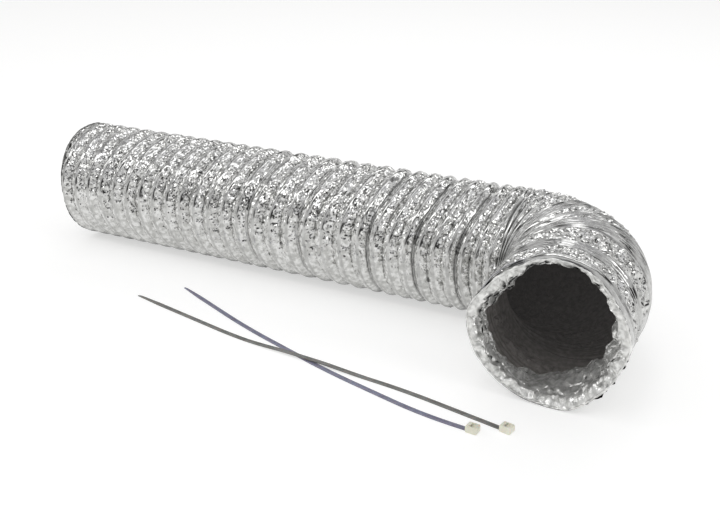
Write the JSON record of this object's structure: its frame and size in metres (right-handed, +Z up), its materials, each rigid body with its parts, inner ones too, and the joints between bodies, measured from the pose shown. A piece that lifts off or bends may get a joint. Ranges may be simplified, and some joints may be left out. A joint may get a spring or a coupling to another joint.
{
  "type": "flexible air duct",
  "caption": "Round flexible foil duct on a spring wire coil, lying bent through an elbow, with two loose cable ties.",
  "frame": {"origin": "centre of the inlet bore, level with the wire's first turn, 1.5 mm inside the end face", "axes": "+X along the straight run from the inlet to the elbow, -Y out of the outlet, +Z up from the floor that the duct lies on"},
  "size_m": [0.5496, 0.235, 0.1062],
  "materials": {
    "outer_foil": "bright crumpled foil",
    "inner_foil": "dull foil inside the bore",
    "wire": "drawn spring wire",
    "strap": "translucent natural nylon, smooth",
    "head": "natural nylon, moulded",
    "pawl": "natural nylon, moulded"
  },
  "bodies": {
    "inlet": {"inlet_inner_foil": "inner_foil", "inlet_wire": "wire", "inlet_outer_foil": "outer_foil"},
    "run_01": {"run_01_inner_foil": "inner_foil", "run_01_wire": "wire", "run_01_outer_foil": "outer_foil"},
    "run_02": {"run_02_inner_foil": "inner_foil", "run_02_wire": "wire", "run_02_outer_foil": "outer_foil"},
    "run_03": {"run_03_inner_foil": "inner_foil", "run_03_wire": "wire", "run_03_outer_foil": "outer_foil"},
    "run_04": {"run_04_inner_foil": "inner_foil", "run_04_wire": "wire", "run_04_outer_foil": "outer_foil"},
    "run_05": {"run_05_inner_foil": "inner_foil", "run_05_wire": "wire", "run_05_outer_foil": "outer_foil"},
    "run_06": {"run_06_inner_foil": "inner_foil", "run_06_wire": "wire", "run_06_outer_foil": "outer_foil"},
    "run_07": {"run_07_inner_foil": "inner_foil", "run_07_wire": "wire", "run_07_outer_foil": "outer_foil"},
    "run_08": {"run_08_inner_foil": "inner_foil", "run_08_wire": "wire", "run_08_outer_foil": "outer_foil"},
    "run_09": {"run_09_inner_foil": "inner_foil", "run_09_wire": "wire", "run_09_outer_foil": "outer_foil"},
    "run_10": {"run_10_inner_foil": "inner_foil", "run_10_wire": "wire", "run_10_outer_foil": "outer_foil"},
    "run_11": {"run_11_inner_foil": "inner_foil", "run_11_wire": "wire", "run_11_outer_foil": "outer_foil"},
    "elbow_1": {"elbow_1_inner_foil": "inner_foil", "elbow_1_wire": "wire", "elbow_1_outer_foil": "outer_foil"},
    "elbow_2": {"elbow_2_inner_foil": "inner_foil", "elbow_2_wire": "wire", "elbow_2_outer_foil": "outer_foil"},
    "elbow_3": {"elbow_3_inner_foil": "inner_foil", "elbow_3_wire": "wire", "elbow_3_outer_foil": "outer_foil"},
    "elbow_4": {"elbow_4_inner_foil": "inner_foil", "elbow_4_wire": "wire", "elbow_4_outer_foil": "outer_foil"},
    "outlet": {"outlet_inner_foil": "inner_foil", "outlet_wire": "wire", "outlet_outer_foil": "outer_foil"},
    "tie_1": {"tie_1_strap": "strap", "tie_1_head": "head"},
    "tie_1_pawl": {"tie_1_pawl": "pawl"},
    "tie_2": {"tie_2_strap": "strap", "tie_2_head": "head"},
    "tie_2_pawl": {"tie_2_pawl": "pawl"}
  },
  "joints": [
    {"name": "elbow_bend", "type": "hinge", "parent": "outlet", "child": "elbow_4", "pos_m": [0.49426, -0.05061, 0], "axis": [0, 0, -1], "range_deg": [0, 24], "deforming": ["elbow_4_inner_foil", "elbow_4_wire", "elbow_4_outer_foil"]},
    {"name": "elbow_bend_2", "type": "hinge", "parent": "elbow_4", "child": "elbow_3", "pos_m": [0.48846, -0.03276, 0], "axis": [0, 0, -1], "range_deg": [0, 24], "deforming": ["elbow_3_inner_foil", "elbow_3_wire", "elbow_3_outer_foil"]},
    {"name": "elbow_bend_3", "type": "hinge", "parent": "elbow_3", "child": "elbow_2", "pos_m": [0.47743, -0.01757, 0], "axis": [0, 0, -1], "range_deg": [0, 24], "deforming": ["elbow_2_inner_foil", "elbow_2_wire", "elbow_2_outer_foil"]},
    {"name": "elbow_bend_4", "type": "hinge", "parent": "elbow_2", "child": "elbow_1", "pos_m": [0.46224, -0.00654, 0], "axis": [0, 0, -1], "range_deg": [0, 24], "deforming": ["elbow_1_inner_foil", "elbow_1_wire", "elbow_1_outer_foil"]},
    {"name": "elbow_bend_5", "type": "hinge", "parent": "elbow_1", "child": "run_11", "pos_m": [0.44439, -0.00074, 0], "axis": [0, 0, -1], "range_deg": [0, 24], "deforming": ["run_11_inner_foil", "run_11_wire", "run_11_outer_foil"]},
    {"name": "duct_stretch", "type": "slide", "parent": "run_11", "child": "run_10", "axis": [-1, 0, 0], "range_m": [-0.031, 0.058], "deforming": ["run_10_inner_foil", "run_10_wire", "run_10_outer_foil"]},
    {"name": "duct_stretch_2", "type": "slide", "parent": "run_10", "child": "run_09", "axis": [-1, 0, 0], "range_m": [-0.031, 0.058], "deforming": ["run_09_inner_foil", "run_09_wire", "run_09_outer_foil"]},
    {"name": "run_bend", "type": "hinge", "parent": "run_09", "child": "run_08", "pos_m": [0.34075, 0, 0], "axis": [0, 0, -1], "range_deg": [0, 13], "deforming": ["run_08_inner_foil", "run_08_wire", "run_08_outer_foil"]},
    {"name": "duct_stretch_3", "type": "slide", "parent": "run_08", "child": "run_07", "axis": [-1, 0, 0], "range_m": [-0.031, 0.058], "deforming": ["run_07_inner_foil", "run_07_wire", "run_07_outer_foil"]},
    {"name": "duct_stretch_4", "type": "slide", "parent": "run_07", "child": "run_06", "axis": [-1, 0, 0], "range_m": [-0.031, 0.058], "deforming": ["run_06_inner_foil", "run_06_wire", "run_06_outer_foil"]},
    {"name": "run_bend_2", "type": "hinge", "parent": "run_06", "child": "run_05", "pos_m": [0.23925, 0, 0], "axis": [0, 0, -1], "range_deg": [0, 13], "deforming": ["run_05_inner_foil", "run_05_wire", "run_05_outer_foil"]},
    {"name": "duct_stretch_5", "type": "slide", "parent": "run_05", "child": "run_04", "axis": [-1, 0, 0], "range_m": [-0.031, 0.058], "deforming": ["run_04_inner_foil", "run_04_wire", "run_04_outer_foil"]},
    {"name": "duct_stretch_6", "type": "slide", "parent": "run_04", "child": "run_03", "axis": [-1, 0, 0], "range_m": [-0.031, 0.058], "deforming": ["run_03_inner_foil", "run_03_wire", "run_03_outer_foil"]},
    {"name": "run_bend_3", "type": "hinge", "parent": "run_03", "child": "run_02", "pos_m": [0.13775, 0, 0], "axis": [0, 0, -1], "range_deg": [0, 13], "deforming": ["run_02_inner_foil", "run_02_wire", "run_02_outer_foil"]},
    {"name": "duct_stretch_7", "type": "slide", "parent": "run_02", "child": "run_01", "axis": [-1, 0, 0], "range_m": [-0.031, 0.058], "deforming": ["run_01_inner_foil", "run_01_wire", "run_01_outer_foil"]},
    {"name": "duct_stretch_8", "type": "slide", "parent": "run_01", "child": "inlet", "axis": [-1, 0, 0], "range_m": [-0.031, 0.058]},
    {"name": "tie_1_lift", "type": "slide", "parent": "outlet", "child": "tie_1", "axis": [0, 0, 1], "range_m": [0, 0.15]},
    {"name": "tie_1_pawl_flex", "type": "hinge", "parent": "tie_1", "child": "tie_1_pawl", "pos_m": [0.4683, -0.17761, -0.0501], "axis": [0.0808, 0.9967, 0], "range_deg": [-6, 6], "stiffness_Nm_per_rad": 0.002},
    {"name": "tie_2_lift", "type": "slide", "parent": "tie_1", "child": "tie_2", "axis": [0, 0, 1], "range_m": [0, 0.15]},
    {"name": "tie_2_pawl_flex", "type": "hinge", "parent": "tie_2", "child": "tie_2_pawl", "pos_m": [0.48778, -0.16724, -0.0501], "axis": [0.1868, 0.9824, 0], "range_deg": [-6, 6], "stiffness_Nm_per_rad": 0.002}
  ],
  "couplings": [
    {"joint": "elbow_bend_2", "follows": "elbow_bend", "ratio": 1},
    {"joint": "elbow_bend_3", "follows": "elbow_bend", "ratio": 1},
    {"joint": "elbow_bend_4", "follows": "elbow_bend", "ratio": 1},
    {"joint": "elbow_bend_5", "follows": "elbow_bend", "ratio": 1},
    {"joint": "duct_stretch_2", "follows": "duct_stretch", "ratio": 1},
    {"joint": "duct_stretch_3", "follows": "duct_stretch", "ratio": 1},
    {"joint": "duct_stretch_4", "follows": "duct_stretch", "ratio": 1},
    {"joint": "run_bend_2", "follows": "run_bend", "ratio": 1},
    {"joint": "duct_stretch_5", "follows": "duct_stretch", "ratio": 1},
    {"joint": "duct_stretch_6", "follows": "duct_stretch", "ratio": 1},
    {"joint": "run_bend_3", "follows": "run_bend", "ratio": 1},
    {"joint": "duct_stretch_7", "follows": "duct_stretch", "ratio": 1},
    {"joint": "duct_stretch_8", "follows": "duct_stretch", "ratio": 1}
  ]
}
